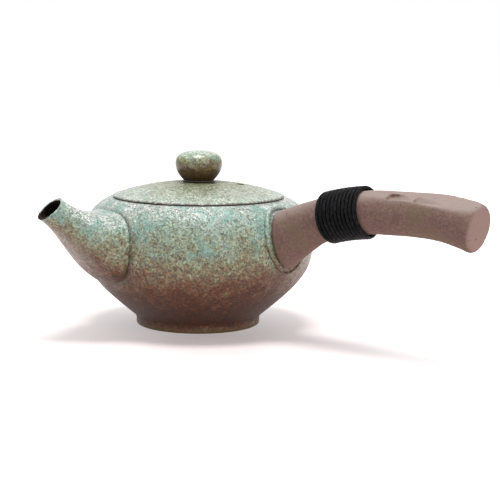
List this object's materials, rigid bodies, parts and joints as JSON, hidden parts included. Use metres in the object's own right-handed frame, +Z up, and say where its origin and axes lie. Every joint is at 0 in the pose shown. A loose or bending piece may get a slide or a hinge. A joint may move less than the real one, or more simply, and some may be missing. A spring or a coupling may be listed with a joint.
{
  "type": "side-handled teapot",
  "caption": "Squat stoneware kyusu teapot with a funnel spout, strainer, lift-off knobbed lid and a cord-bound side handle, for brewing and pouring tea by one hand.",
  "frame": {"origin": "centre of the foot ring, on the table", "axes": "+Z up, +X to the right of the picture's view along the handle's side, -Y towards the viewer"},
  "size_m": [0.1735, 0.138, 0.0733],
  "materials": {
    "speckled_glaze": "satin ash glaze, pale green at the shoulder and brown below, pitted",
    "bare_clay": "matte unglazed stoneware",
    "black_cord": "twisted waxed cord"
  },
  "bodies": {
    "teapot_body": {"pot": "speckled_glaze", "spout": "speckled_glaze", "strainer": "speckled_glaze", "handle": "bare_clay", "handle_collar": "speckled_glaze", "cord_wrap": "black_cord"},
    "lid_body": {"lid": "speckled_glaze", "lid_flange": "speckled_glaze", "knob": "speckled_glaze"}
  },
  "joints": [
    {"name": "lid_lift", "type": "slide", "parent": "teapot_body", "child": "lid_body", "axis": [0, 0, 1], "range_m": [0, 0.06]}
  ]
}
